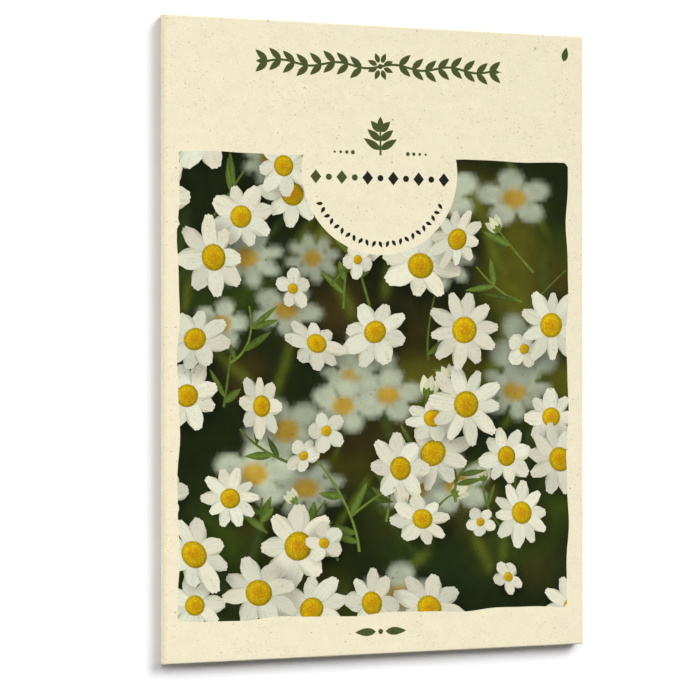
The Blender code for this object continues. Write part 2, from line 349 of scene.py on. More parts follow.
class Motif:
    """One closed outline with its material, its colour and the directions that its pattern follows.

    own is the motif's own number, which varies its pattern, and rank its blossom's place in the pile."""

    def __init__(self, outline, material, colour, origin=(0, 0), along=(1, 0), across=(0, 1),
                 own=0.0, rank=None):
        self.outline = outline
        self.material = material
        self.colour = np.array(colour)
        self.origin = np.array(origin, float)
        self.inverse = np.linalg.inv(np.array([along, across], float).T)
        self.own = own
        self.rank = rank

    def local(self, points):
        return (points - self.origin) @ self.inverse.T

    def trim(self, low, high):
        """Cut the outline back to a rectangle, and put its points in order against the clock."""
        outline = [np.array(point, float) for point in self.outline]
        for axis, limit, sign in ((0, low[0], 1), (0, high[0], -1), (1, low[1], 1), (1, high[1], -1)):
            kept = []
            for start, end in zip(outline, outline[1:] + outline[:1]):
                a, b = sign * (start[axis] - limit), sign * (end[axis] - limit)
                if a >= 0:
                    kept.append(start)
                if a * b < 0:
                    kept.append(start + (end - start) * a / (a - b))
            outline = kept
        turning = sum(p[0] * q[1] - q[0] * p[1] for p, q in zip(outline, outline[1:] + outline[:1]))
        self.outline = outline if turning > 0 else outline[::-1]


def turn(x, y, angle):
    """A point turned about the origin."""
    c, s = math.cos(angle), math.sin(angle)
    return x * c - y * s, x * s + y * c


def between(first, last, count):
    """Evenly spaced values from first to last, in a number of steps."""
    return [first + (last - first) * i / count for i in range(count + 1)]


def ring(centre, radius, steps, ripple=0.0, waves=0):
    """Points round a circle, with an optional ripple."""
    points = []
    for angle in between(0, 2 * math.pi, steps)[:-1]:
        reach = radius * (1 + ripple * math.sin(waves * angle))
        points.append((centre[0] + reach * math.cos(angle), centre[1] + reach * math.sin(angle)))
    return points


def leaf(base, angle, length, width, colour, material=ORNAMENT, own=0.0):
    """A pointed leaf from its base outwards."""
    upper = [(a, math.sin(math.pi * a ** 0.8) ** 0.9) for a in between(0, 1, 7)[1:-1]]
    outline = []
    for a, b in [(0, 0)] + upper + [(1, 0)] + [(a, -b) for a, b in reversed(upper)]:
        x, y = turn(a * length, b * width / 2, angle)
        outline.append((base[0] + x, base[1] + y))
    return Motif(outline, material, colour, base, turn(length, 0, angle), turn(0, width / 2, angle), own)


def ribbon(points, width_start, width_end, colour, material=ORNAMENT):
    """Short quads along a curve, each a motif of its own."""
    count = len(points) - 1
    sides = []
    for i in range(count + 1):
        first, last = points[max(i - 1, 0)], points[min(i + 1, count)]
        dx, dy = last[0] - first[0], last[1] - first[1]
        size = math.hypot(dx, dy)
        half = (width_start + (width_end - width_start) * i / count) / 2
        sides.append((-dy / size * half, dx / size * half))
    motifs = []
    for i in range(count):
        (x0, y0), (x1, y1) = points[i:i + 2]
        (a0, b0), (a1, b1) = sides[i:i + 2]
        outline = [(x0 - a0, y0 - b0), (x1 - a1, y1 - b1), (x1 + a1, y1 + b1), (x0 + a0, y0 + b0)]
        motifs.append(Motif(outline, material, colour, (x0, y0), (x1 - x0, y1 - y0), (a0, b0)))
    return motifs


def curve(start, bend, end, steps):
    """A quadratic curve through three guiding points."""
    points = []
    for t in between(0, 1, steps):
        a, b, c = (1 - t) ** 2, 2 * t * (1 - t), t * t
        points.append((a * start[0] + b * bend[0] + c * end[0], a * start[1] + b * bend[1] + c * end[1]))
    return points


def petal_outline(width):
    """A broad petal from (0, 0) to (1, 0) with three shallow teeth at its tip."""
    shoulder, steps = 0.90, 7
    side = [(a, width * math.sin(math.pi * a ** 1.45) ** 0.62) for a in between(0, shoulder, steps)[1:]]
    half = side[-1][1]
    dome, depth = 0.085, 0.030
    tip = []
    for s in between(1, -1, 9)[1:-1]:
        tooth = depth * abs(math.sin(1.5 * math.pi * s + math.pi / 2))
        tip.append((shoulder + dome * math.sqrt(1 - s * s) + tooth, half * s))
    root = 0.03
    return [(0, root)] + side + tip + [(a, -b) for a, b in reversed(side)] + [(0, -root)]


class Blossom:
    """A white flower seen at a tilt, with two layers of petals and a raised yellow middle."""

    def __init__(self, rng, x, y, radius, petals, rank):
        self.centre = np.array((x, y))
        self.radius = radius
        self.rank = rank
        self.petals = petals
        self.tilt = math.radians(rng.uniform(8, 48))
        self.lean = rng.uniform(0, 2 * math.pi)
        self.spin = rng.uniform(0, 2 * math.pi)
        c, s = math.cos(self.lean), math.sin(self.lean)
        turned = np.array([[c, s], [-s, c]])
        self.view = turned.T @ np.diag([math.cos(self.tilt), 1.0]) @ turned
        self.tone = rng.uniform(0.86, 1.0)

    def place(self, point):
        return self.centre + self.view @ np.array(point)

    def near(self, points):
        """Distance from the middle of the flower's soft shadow, as a share of its radius."""
        offset = np.array((0.07, -0.10)) * self.radius
        flat = (points - self.centre - offset) @ np.linalg.inv(self.view).T
        return np.linalg.norm(flat, axis=1) / self.radius

    def motifs(self, rng):
        shapes = []
        order = list(range(0, self.petals, 2)) + list(range(1, self.petals, 2))
        many = self.petals > 6
        width = 2.12 / self.petals if many else 0.40
        for layer, k in enumerate(order):
            angle = self.spin + 2 * math.pi * (k + rng.uniform(-0.12, 0.12)) / self.petals
            length = self.radius * rng.uniform(0.84, 1.04)
            own_width = width * rng.uniform(0.86, 1.12)
            local = petal_outline(own_width)
            outline = [self.place(turn(a * length, b * length, angle)) for a, b in local]
            facing = math.cos(angle - self.lean) * math.sin(self.tilt)
            lit = self.tone * (0.93 + 0.07 * facing) * rng.uniform(0.95, 1.0)
            if layer < self.petals // 2:
                lit *= 0.90
            warmth = rng.uniform(0.0, 1.0)
            white = PETAL_COOL * (1 - warmth) + PETAL_WARM * warmth
            along = self.view @ np.array(turn(length, 0, angle))
            across = self.view @ np.array(turn(0, own_width * length, angle))
            shapes.append(Motif(outline, PETAL, white * lit, self.centre, along, across,
                                rng.random(), self.rank))
        lift = self.view @ np.array(turn(0.10 * self.radius * math.sin(self.tilt), 0, self.lean))
        heart = self.radius * (0.32 if many else 0.24)
        middle = self.centre + lift
        squeeze = 0.5 * (self.view + np.eye(2))
        outline = [middle + squeeze @ np.array(p) for p in ring((0, 0), heart, 26, 0.035, 13)]
        yellow = HEART_YELLOW * rng.uniform(0.86, 1.04)
        shapes.append(Motif(outline, HEART, yellow, middle, squeeze @ np.array((heart, 0)),
                            squeeze @ np.array((0, heart)), rng.random(), self.rank))
        return shapes


def picture_outline():
    """The picture's hand-cut border with its round notch at the top, once round."""
    corner = 0.9
    side_steps, top_steps, notch_steps = 48, 12, 64
    left, right = PICTURE_LEFT + corner, PICTURE_RIGHT - corner
    foot, top = PICTURE_FOOT + corner, PICTURE_TOP - corner
    points = []

    def wave(t, phase):
        """How far the cut strays from straight, in two waves of about 29 and 13 mm."""
        return 0.30 * math.sin(0.22 * t + phase) + 0.11 * math.sin(0.47 * t + 2.1 * phase)

    def round_corner(x, y, first):
        """The middle points of a rounded corner whose arc has its centre at x and y."""
        for k in range(1, 4):
            angle = math.radians(first + 22.5 * k)
            points.append((x + corner * math.cos(angle), y + corner * math.sin(angle)))

    for x in between(left, right, side_steps):
        points.append((x, PICTURE_FOOT + wave(x, 0.4)))
    round_corner(right, foot, -90)
    for y in between(foot, top, side_steps):
        points.append((PICTURE_RIGHT + wave(y, 4.87), y))
    round_corner(right, top, 0)
    mouth = math.sqrt(NOTCH_RADIUS ** 2 - (PICTURE_TOP - NOTCH_CENTRE.y) ** 2)
    for x in between(right, mouth, top_steps)[:-1]:
        points.append((x, PICTURE_TOP + 0.5 * wave(x, 3.0)))
    start = math.atan2(PICTURE_TOP - NOTCH_CENTRE.y, mouth)
    for angle in between(start, -math.pi - start, notch_steps):
        points.append((NOTCH_CENTRE.x + NOTCH_RADIUS * math.cos(angle),
                       NOTCH_CENTRE.y + NOTCH_RADIUS * math.sin(angle)))
    for x in between(-mouth, left, top_steps)[1:]:
        points.append((x, PICTURE_TOP + 0.5 * wave(x, 4.0)))
    round_corner(left, top, 90)
    for y in between(top, foot, side_steps):
        points.append((PICTURE_LEFT + wave(y, -0.13), y))
    round_corner(left, foot, 180)
    return points


def reaches_into(outline, region):
    """Whether any point of an outline lies in a region, by counting the edges to one side of it."""
    for x, y in outline:
        inside = False
        for (x0, y0), (x1, y1) in zip(region, region[1:] + region[:1]):
            if (y0 > y) != (y1 > y) and x < x0 + (y - y0) * (x1 - x0) / (y1 - y0):
                inside = not inside
        if inside:
            return True
    return False


def plant_blossoms(rng):
    """A loose, staggered planting of blossoms, thinned out in three gaps."""
    blossoms = []
    rows, columns = 8, 7
    pitch_x, pitch_y = 16.5, 15.18
    places = []
    for row in range(rows):
        for column in range(columns):
            x = -50 + pitch_x * (column + 0.5 * (row % 2)) + rng.uniform(-5.5, 5.5)
            y = -62 + pitch_y * row + rng.uniform(-5.0, 5.0)
            places.append((x, y))
    rng.shuffle(places)
    for x, y in places:
        in_gap = x > 20 and y > 8 or -8 < x < 12 and -34 < y < -16 or x < -26 and -12 < y < 2
        if in_gap and rng.random() < 0.7:
            continue
        if rng.random() < 0.20:
            radius, petals = rng.uniform(4.2, 5.6), 5
        else:
            radius, petals = rng.uniform(7.4, 10.8), rng.choice((8, 8, 10))
        blossoms.append(Blossom(rng, x, y, radius, petals, len(blossoms)))
    return blossoms


def stems_and_leaves(rng):
    """Sharp stems, blades and buds between the blossoms."""
    shapes = []
    for _ in range(26):
        x, y = rng.uniform(-46, 46), rng.uniform(-62, 34)
        end = (x + rng.uniform(-14, 14), y + rng.uniform(8, 22))
        bend = ((x + end[0]) / 2 + rng.uniform(-5, 5), (y + end[1]) / 2 + rng.uniform(-3, 3))
        green = linear(104, 122, 46) * rng.uniform(0.55, 1.0)
        stem = curve((x, y), bend, end, 10)
        shapes += ribbon(stem, 0.75, 0.45, green, LEAF)
        for _ in range(rng.randint(1, 4)):
            base = stem[int(rng.uniform(0.1, 0.8) * 10)]
            angle = math.atan2(end[1] - y, end[0] - x) + rng.choice((-1, 1)) * rng.uniform(0.4, 1.0)
            blade = linear(92, 112, 44) * rng.uniform(0.5, 1.0)
            length, width = rng.uniform(4, 9), rng.uniform(1.0, 2.2)
            shapes.append(leaf(base, angle, length, width, blade, LEAF, rng.random()))
        if rng.random() < 0.6:
            heading = math.atan2(end[1] - bend[1], end[0] - bend[0])
            size = rng.uniform(3.6, 5.6)
            for spread in (-0.42, 0.42, 0.0):
                tone = linear(212, 212, 176) * rng.uniform(0.72, 0.95)
                shapes.append(leaf(end, heading + spread, size, 0.52 * size, tone, PETAL, rng.random()))
            for spread in (-0.62, 0.62, 0.0):
                angle = heading + spread
                shapes.append(leaf(end, angle, 0.46 * size, 0.24 * size, green, LEAF, rng.random()))
    return shapes


def dot(x, y, radius, steps, colour):
    return Motif(ring((x, y), radius, steps), ORNAMENT, colour)


def garland():
    """A waving stem across the head with pairs of leaves, and a small rosette in its middle."""
    reach, middle_y, pitch, rise, waves = 28.0, 64.3, 3.3, 0.55, 4

    def height(x):
        return middle_y + rise * math.sin(2 * math.pi * waves * (x + reach) / (2 * reach))

    shapes = ribbon([(x, height(x)) for x in between(-reach, reach, 60)], 0.55, 0.55, INK_GREEN)
    for side, outward in ((-1, math.pi), (1, 0.0)):
        shapes.append(leaf((side * (reach - 0.3), middle_y), outward, 2.9, 1.2, INK_GREEN))
        for k in range(8):
            x = side * (4.7 + pitch * k)
            for up in (-1, 1):
                angle = outward + side * up * math.radians(42)
                shapes.append(leaf((x, height(x)), angle, 3.9, 1.55, INK_GREEN))
    petals, root = 8, 0.9
    for k in range(petals):
        angle = 2 * math.pi * (k + 0.5) / petals
        base = (root * math.cos(angle), middle_y + root * math.sin(angle))
        shapes.append(leaf(base, angle, 2.5, 1.25, INK_GREEN))
    shapes.append(dot(0, middle_y, 0.62, 16, INK_GREEN))
    return shapes


def sprig():
    """An upright sprig above the notch with a row of shrinking dots on each side."""
    foot, crown = 43.4, 50.2
    shapes = ribbon([(0, y) for y in between(foot, crown, 6)], 0.55, 0.4, INK_GREEN)
    for k in range(3):
        for side in (-1, 1):
            angle = math.pi / 2 - side * math.radians(58 - 7 * k)
            shapes.append(leaf((0, foot + 1.3 + 2.1 * k), angle, 4.9 - 0.7 * k, 1.75, INK_GREEN))
    shapes.append(leaf((0, crown - 0.6), math.pi / 2, 2.9, 1.5, INK_GREEN))
    for side in (-1, 1):
        for k in range(4):
            shapes.append(dot(side * (6.9 + 1.5 * k), foot + 0.5, 0.5 - 0.07 * k, 14, INK_GREEN))
    return shapes


def lozenge_row():
    """Lozenges and dots by turns across the notch, the first few green and the rest dark."""
    shapes = []
    row_y, pitch, tall, wide = 38.0, 3.21, 1.65, 1.353
    for k in range(-5, 6):
        colour = INK_GREEN if k < -1 else INK_DARK
        x = k * pitch
        if k % 2:
            outline = [(x + wide, row_y), (x, row_y + tall), (x - wide, row_y), (x, row_y - tall)]
            shapes.append(Motif(outline, ORNAMENT, colour))
        else:
            shapes.append(dot(x, row_y, 0.756, 18, colour))
    return shapes


def seed_row():
    """Slender seeds round the notch's rim that lean to and fro."""
    shapes = []
    rim, count, length, lean_by = 17.0, 23, 1.7, 0.42
    for k, degrees in enumerate(between(207, 333, count - 1)):
        angle = math.radians(degrees)
        lean = angle + (lean_by if k % 2 else -lean_by)
        x = NOTCH_CENTRE.x + rim * math.cos(angle) - length / 2 * math.cos(lean)
        y = NOTCH_CENTRE.y + rim * math.sin(angle) - length / 2 * math.sin(lean)
        shapes.append(leaf((x, y), lean, length, 0.85, INK_DARK))
    return shapes


def small_marks():
    """Two leaves and a dot at the foot, and a small leaf in the upper right corner."""
    foot_y = -68.7
    return [
        leaf((-1.2, foot_y), math.pi, 5.2, 1.9, INK_GREEN),
        leaf((1.2, foot_y), 0.0, 5.2, 1.9, INK_GREEN),
        dot(0, foot_y, 0.62, 16, INK_GREEN),
        leaf((47.4, 67.6), math.radians(78), 3.6, 1.7, INK_GREEN),
    ]


def ground_colour(points, rng):
    """The blurred ground: dark foliage, lighter blades and pale flowers out of focus."""
    x, y = points[:, 0], points[:, 1]
    colour = np.tile(linear(24, 32, 8), (len(points), 1))

    def lay(mask, paint):
        nonlocal colour
        colour = colour * (1 - mask[:, None]) + paint * mask[:, None]

    foliage = ((58, 74, 18), (96, 94, 20), (12, 16, 4), (30, 44, 16), (66, 52, 20))
    for _ in range(60):
        cx, cy = rng.uniform(-50, 50), rng.uniform(-66, 44)
        wide, tall = rng.uniform(4, 13), rng.uniform(3, 9)
        patch = np.exp(-(((x - cx) / wide) ** 2 + ((y - cy) / tall) ** 2))
        lay(0.62 * patch, linear(*rng.choice(foliage)))
    for _ in range(44):
        cx, cy, angle = rng.uniform(-50, 50), rng.uniform(-66, 44), rng.uniform(0.6, 2.5)
        length, half = rng.uniform(7, 18), rng.uniform(0.7, 1.5)
        along = (x - cx) * math.cos(angle) + (y - cy) * math.sin(angle)
        across = -(x - cx) * math.sin(angle) + (y - cy) * math.cos(angle)
        mask = np.exp(-(across / half) ** 2) * smooth(length, 0.55 * length, np.abs(along))
        lay(0.55 * mask, linear(92, 102, 28) if rng.random() < 0.6 else linear(62, 80, 34))
    for _ in range(20):
        cx, cy, radius = rng.uniform(-48, 48), rng.uniform(-64, 42), rng.uniform(6.5, 10.5)
        petals, spin = rng.choice((5, 8)), rng.uniform(0, 6.28)
        squash_y = rng.uniform(0.65, 1.0)
        dx, dy = x - cx, (y - cy) / squash_y
        reach = np.hypot(dx, dy) / radius
        fold = np.abs(np.cos(petals * (np.arctan2(dy, dx) - spin) / 2))
        edge = 0.42 + 0.54 * fold ** 0.6
        pale = rng.uniform(0.55, 0.95)
        lay(0.94 * smooth(edge + 0.15, edge - 0.15, reach), linear(182, 190, 162) * pale)
        lay(0.35 * smooth(0.5, 0.0, fold) * smooth(0.95, 0.3, reach), linear(92, 104, 62))
        lay(0.9 * smooth(0.40, 0.24, reach), linear(184, 146, 22) * pale)
    return colour


# The first two motifs in drawing order
FACE, PICTURE = 0, 1


def draw_front(rng):
    """All motifs in drawing order, and the blossoms that cast soft shadows."""
    border = picture_outline()
    low, high = (-FACE_HALF_WIDTH, -FACE_HALF_HEIGHT), (FACE_HALF_WIDTH, FACE_HALF_HEIGHT)
    face = [low, (high[0], low[1]), high, (low[0], high[1])]
    motifs = [Motif(face, BARE, PAPER_COLOUR), Motif(border, GROUND, (0, 0, 0))]
    motifs[PICTURE].trim(low, high)
    planting = stems_and_leaves(rng)
    blossoms = plant_blossoms(rng)
    for blossom in blossoms:
        planting += blossom.motifs(rng)
    margin = 1.0
    for shape in planting:
        if reaches_into(shape.outline, border):
            shape.trim((PICTURE_LEFT - margin, PICTURE_FOOT - margin),
                       (PICTURE_RIGHT + margin, PICTURE_TOP + margin))
            motifs.append(shape)
    for shape in garland() + sprig() + lozenge_row() + seed_row() + small_marks():
        shape.trim(low, high)
        motifs.append(shape)
    return motifs, blossoms


def face_wave(x, y):
    """How far the front swells over the sachet and strays from flat. It is nothing at the creases."""
    u, v = x / FACE_HALF_WIDTH, y / FACE_HALF_HEIGHT
    pinned = max(0.0, 1 - u * u) * max(0.0, 1 - v * v)
    swell = 0.10 * math.exp(-(x / 30) ** 2 - ((y + 16) / 44) ** 2)
    return min(1.0, 3 * pinned) * (swell + 0.03 * noise.noise(Vector((x / 22, y / 22, 3.0))))


def stations(half, pitch):
    """Values from -half to half, about a pitch apart."""
    return between(-half, half, round(2 * half / pitch))


SIDE_STATIONS = stations(FACE_HALF_HEIGHT, EDGE_PITCH)
END_STATIONS = stations(FACE_HALF_WIDTH, EDGE_PITCH)


def triangulate(motifs):
    """The flat front, cut along every motif's outline: points, triangles and what covers each."""
    points = []
    faces = []
    for motif in motifs:
        start = len(points)
        points += [tuple(map(float, point)) for point in motif.outline]
        faces.append(list(range(start, len(points))))
    inset = 0.5
    for y in SIDE_STATIONS[1:-1]:
        for x in (FACE_HALF_WIDTH, FACE_HALF_WIDTH - inset):
            points += [(-x, y), (x, y)]
    for x in END_STATIONS[1:-1]:
        for y in (FACE_HALF_HEIGHT, FACE_HALF_HEIGHT - inset):
            points += [(x, -y), (x, y)]
    rows = int((PICTURE_TOP - PICTURE_FOOT) / PICTURE_PITCH)
    columns = int((PICTURE_RIGHT - PICTURE_LEFT) / PICTURE_PITCH)
    for row in range(-1, rows + 2):
        for column in range(-1, columns + 2):
            x = PICTURE_LEFT + PICTURE_PITCH * (column + 0.5 * (row % 2))
            points.append((x, PICTURE_FOOT + PICTURE_PITCH * row))
    for x in stations(FACE_HALF_WIDTH - BARE_PITCH / 2, BARE_PITCH):
        for y in stations(FACE_HALF_HEIGHT - BARE_PITCH / 2, BARE_PITCH):
            if not PICTURE_FOOT < y < PICTURE_TOP:
                points.append((x, y))
    result = delaunay_2d_cdt([Vector(point) for point in points], [], faces, 0, 1e-5, True)
    return [tuple(point) for point in result[0]], result[2], result[5]


def build_face(bm, layers, motifs, blossoms, rng):
    """The printed front in the packet's mesh. Its corners come back by place, for the folds to join."""
    points, triangles, covers = triangulate(motifs)
    spots = np.array(points)
    ground = ground_colour(spots, rng)
    # Row k + 1 shades blossom k, and row 0 what lies under them all. A shadow starts and is full at these
    # shares of its blossom's radius
    start, full, depth = 1.18, 0.70, 0.42
    light = np.ones((len(blossoms) + 1, len(points)))
    for rank in range(len(blossoms) - 1, -1, -1):
        shadow = depth * smooth(start, full, blossoms[rank].near(spots))
        light[rank] = light[rank + 1] * (1 - shadow)
    corners = [bm.verts.new((x, y, THICKNESS + face_wave(x, y))) for x, y in points]
    for corner in corners:
        corner[layers["at"]] = corner.co * MM
    for triangle, cover in zip(triangles, covers):
        top = max(cover, default=FACE)
        if motifs[top].material in (PETAL, HEART, LEAF) and PICTURE not in cover:
            top = FACE
        motif = motifs[top]
        face = bm.faces.new([corners[k] for k in triangle])
        face.material_index = motif.material
        face.smooth = True
        if motif.material == BARE:
            continue
        for loop, index, (a, b) in zip(face.loops, triangle, motif.local(spots[triangle])):
            colour = ground[index] if motif.material == GROUND else motif.colour
            if motif.material != ORNAMENT:
                colour = colour * light[0 if motif.rank is None else motif.rank + 1][index]
            loop[layers["ink"]] = (*colour, 1.0)
            loop[layers["motif"]] = (a, b, motif.own)
    return {(round(x, 3), round(y, 3)): corner for (x, y), corner in zip(points, corners)}


# The folded sheet round the front

def arc(centre, radius, first, last, steps=7):
    """Points along an arc in degrees, without its first point."""
    turns = [math.radians(degrees) for degrees in between(first, last, steps)[1:]]
    return [(centre[0] + radius * math.cos(a), centre[1] + radius * math.sin(a)) for a in turns]


def line(start, end, pitch):
    """Points along a straight run, without its first point."""
    count = max(1, round(math.dist(start, end) / pitch))
    return list(zip(between(start[0], end[0], count), between(start[1], end[1], count)))[1:]


def wrap(half, low, reach):
    """A folded side's section, from the front's edge round both creases to a free edge underneath.

    half and reach are the places of the wall and the free edge, and low is the panel's lower face."""
    inner = half - CREASE
    worn_to = inner - 1.2
    section = arc((inner, THICKNESS - CREASE), CREASE, 90, 0)
    section += line((half, THICKNESS - CREASE), (half, low + CREASE), WALL_PITCH)
    section += arc((inner, low + CREASE), CREASE, 0, -90)
    section += line((inner, low), (worn_to, low), WALL_PITCH)
    return section + line((worn_to, low), (reach, low), BACK_PITCH)


def crease_wear_and_shade(height, low):
    """How strong the tint of wear and painted shade is at a point of a wall: most at its two creases."""
    top = FOLD_WEAR_AND_SHADE * math.exp(-((height - THICKNESS + 0.15) / 0.35) ** 2)
    foot = FOLD_WEAR_AND_SHADE * math.exp(-((height - low - 0.15) / 0.30) ** 2)
    return max(WALL_WEAR_AND_SHADE, top, foot)


def add_grid(bm, rows, flip):
    """Quads between rows of corners."""
    for upper, lower in zip(rows, rows[1:]):
        for i in range(len(upper) - 1):
            quad = [upper[i], upper[i + 1], lower[i + 1], lower[i]]
            face = bm.faces.new(quad[::-1] if flip else quad)
            face.material_index = BARE
            face.smooth = True


def add_corner(bm, layers, x, y, z, wear_and_shade=0.0):
    """A mesh point that remembers its place for the paper's grain, and how much wear and painted shade
    tint it.
    """
    corner = bm.verts.new((x, y, z))
    corner[layers["at"]] = Vector((x, y, z)) * MM
    corner[layers["worn_and_shaded"]] = wear_and_shade
    return corner


def flap_half_width(depth, tip):
    """A flap's half width at a distance from the packet's edge, rounded at the tip's corners."""
    t = (depth - CREASE) / (tip - CREASE)
    straight = FLAP_HALF_ROOT + (FLAP_HALF_TIP - FLAP_HALF_ROOT) * t
    into_corner = max(0.0, depth - (tip - FLAP_CORNER)) / FLAP_CORNER
    return straight - FLAP_CORNER * (1 - math.sqrt(max(0.0, 1 - into_corner ** 2)))


def end_half_width(y, z, tip):
    """Half width of an end wall or flap at a point of its section. y is the distance from the middle."""
    if z > THICKNESS - CREASE:
        angle = math.acos(min(1.0, (z - THICKNESS + CREASE) / CREASE))
        return FACE_HALF_WIDTH + CREASE * math.sin(angle)
    if z > CREASE:
        return HALF_WIDTH
    if y > HALF_HEIGHT - CREASE - 1e-6:
        return FLAP_HALF_ROOT + (HALF_WIDTH - FLAP_HALF_ROOT) * (z / CREASE) ** 2
    return flap_half_width(HALF_HEIGHT - y, tip)


def end_section(tip):
    """An end wall's section with its flap, and short steps near the tip for its round corners."""
    start = HALF_HEIGHT - tip + FLAP_CORNER
    tip_ys = [start - FLAP_CORNER * math.sin(angle) for angle in between(0, math.pi / 2, 9)[1:]]
    return wrap(HALF_HEIGHT, 0.0, start) + [(y, 0.0) for y in tip_ys]


def end_rows(bm, layers, section, end, tip):
    """Rows of corners across the packet's width, one for each point of an end's section.

    end is 1 at the top and -1 at the foot. The tint of wear and painted shade spares the upper crease, and
    on the flap lies only at its fold."""
    rows = []
    for y, z in section:
        half = end_half_width(y, z, tip)
        wear_and_shade = min(crease_wear_and_shade(z, 0.0), max(0.0, THICKNESS - CREASE - z))
        if z < 1e-6:
            wear_and_shade = FOLD_WEAR_AND_SHADE * math.exp(-((HALF_HEIGHT - y - 0.2) / 0.50) ** 2)
        xs = [x / FACE_HALF_WIDTH * half for x in END_STATIONS]
        rows.append([add_corner(bm, layers, x, end * y, z, wear_and_shade) for x in xs])
    return rows


def new_sheet():
    bm = bmesh.new()
    layers = {
        "at": bm.verts.layers.float_vector.new("paper_at"),
        "worn_and_shaded": bm.verts.layers.float.new("worn_and_shaded"),
        "ink": bm.loops.layers.float_color.new("ink"),
        "motif": bm.loops.layers.float_vector.new("motif"),
    }
    return bm, layers


def turn_outwards(bm, middle):
    """Make the faces agree and look away from a place behind them."""
    bmesh.ops.recalc_face_normals(bm, faces=bm.faces)
    if sum(face.normal.dot(face.calc_center_median() - Vector(middle)) for face in bm.faces) < 0:
        bmesh.ops.reverse_faces(bm, faces=bm.faces)


def make_object(name, bm, materials):
    """Scale a mesh to metres and make it an object."""
    for corner in bm.verts:
        corner.co *= MM
    mesh = bpy.data.meshes.new(name)
    bm.to_mesh(mesh)
    bm.free()
    for material in materials:
        mesh.materials.append(material)
    piece = bpy.data.objects.new(name, mesh)
    bpy.context.collection.objects.link(piece)
    return piece


def make_sheet(name, bm, thickness, materials):
    """A skin with its thickness added inwards, and its last material on the inside and the rims."""
    piece = make_object(name, bm, materials)
    shell = piece.modifiers.new("paper", "SOLIDIFY")
    shell.thickness = thickness * MM
    shell.offset = -1.0
    shell.use_quality_normals = True
    shell.material_offset = len(materials)
    shell.material_offset_rim = len(materials)
    depsgraph = bpy.context.evaluated_depsgraph_get()
    solid = bpy.data.meshes.new_from_object(piece.evaluated_get(depsgraph), depsgraph=depsgraph)
    piece.modifiers.clear()
    piece.data = solid
    solid.name = name
    solid.set_sharp_from_angle(angle=math.radians(50))
    return piece


def build_packet():
    """The front, both sides, the lapped back, the foot and its flap, as one folded sheet."""
    rng = random.Random(2024)
    motifs, blossoms = draw_front(rng)
    bm, layers = new_sheet()
    face = build_face(bm, layers, motifs, blossoms, rng)
    for side, low in ((-1, INNER_BACK), (1, OUTER_BACK)):
        rows = [[face[round(side * FACE_HALF_WIDTH, 3), round(y, 3)] for y in SIDE_STATIONS]]
        for x, z in wrap(HALF_WIDTH, low, -LAP):
            # The walls and their creases get the tint of wear and painted shade, the back none
            wear_and_shade = crease_wear_and_shade(z, low) if x > FACE_HALF_WIDTH - 1e-6 else 0.0
            sag = 0.0 if x > FACE_HALF_WIDTH - 1 else 0.02 * noise.noise(Vector((x / 15, side * 9, 0)))
            # The upper crease ends in a mitre with the end's crease, and below it the side tucks in
            half = HALF_HEIGHT - PAPER - 0.03
            if z > THICKNESS - CREASE - 1e-6:
                half = FACE_HALF_HEIGHT + math.sqrt(max(0.0, CREASE ** 2 - (z - THICKNESS + CREASE) ** 2))
            ys = [y / FACE_HALF_HEIGHT * half for y in SIDE_STATIONS]
            rows.append([add_corner(bm, layers, side * x, y, z + sag, wear_and_shade) for y in ys])
        add_grid(bm, rows, side < 0)
    rows = [[face[round(x, 3), round(-FACE_HALF_HEIGHT, 3)] for x in END_STATIONS]]
    rows += end_rows(bm, layers, end_section(BOTTOM_FLAP_TIP), -1, BOTTOM_FLAP_TIP)
    add_grid(bm, rows, False)
    for corner in face.values():
        # The front's long edges take part of the tint of wear and painted shade
        corner[layers["worn_and_shaded"]] = EDGE_WEAR_AND_SHADE if abs(corner.co.x) > 0.9999 * FACE_HALF_WIDTH else 0.0
    turn_outwards(bm, (0, 0, THICKNESS / 2))
    packet = make_sheet("packet_sheet", bm, PAPER, SHEET_MATERIALS)
    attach(packet, "packet")
    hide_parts("front_panel", "left_side_wall", "right_side_wall", "bottom_wall",
                "back_panel_inner", "back_panel_outer", "bottom_flap")


def build_closure():
    """The top wall and its flap, split halfway up the wall: each half bends across one crease."""
    section = [(HALF_HEIGHT - CREASE, THICKNESS)] + end_section(TOP_FLAP_TIP)
    halfway = max(i for i, (y, z) in enumerate(section) if z > THICKNESS / 2)
    parts = (
        ("closure_wall_sheet", section[:halfway + 1], ("packet", "closure_wall"), "top_wall",
         (0, HALF_HEIGHT - CREASE, THICKNESS), (0, HALF_HEIGHT, THICKNESS - CREASE)),
        ("closure_flap_sheet", section[halfway:], ("closure_wall", "closure_flap"), "top_flap",
         (0, HALF_HEIGHT, CREASE), (0, HALF_HEIGHT - CREASE, 0)),
    )
    for name, run, bodies, node, start, end in parts:
        bm, layers = new_sheet()
        add_grid(bm, end_rows(bm, layers, run, 1, TOP_FLAP_TIP), True)
        turn_outwards(bm, (0, 60, THICKNESS / 2))
        piece = make_sheet(name, bm, PAPER, [SHEET_MATERIALS[BARE], SHEET_MATERIALS[INSIDE]])
        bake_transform(piece)
        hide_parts(node)


# Sachet, seed and glue

def glassine():
    """Thin glazed paper with a faint crushed grain."""
    n = Nodes("glassine")
    crush = n.noise(1.6, 4.0, 0.7)
    cloud = n.ramp(n.noise(5.0, 4.0, 0.6), 0.3, 0.7)
    colour = n.mix(cloud, linear(228, 224, 204), linear(238, 236, 222))
    return n.finish(colour, n.ramp(crush, 0.3, 0.7, 0.30, 0.46), 0.35, 0.0002, crush)


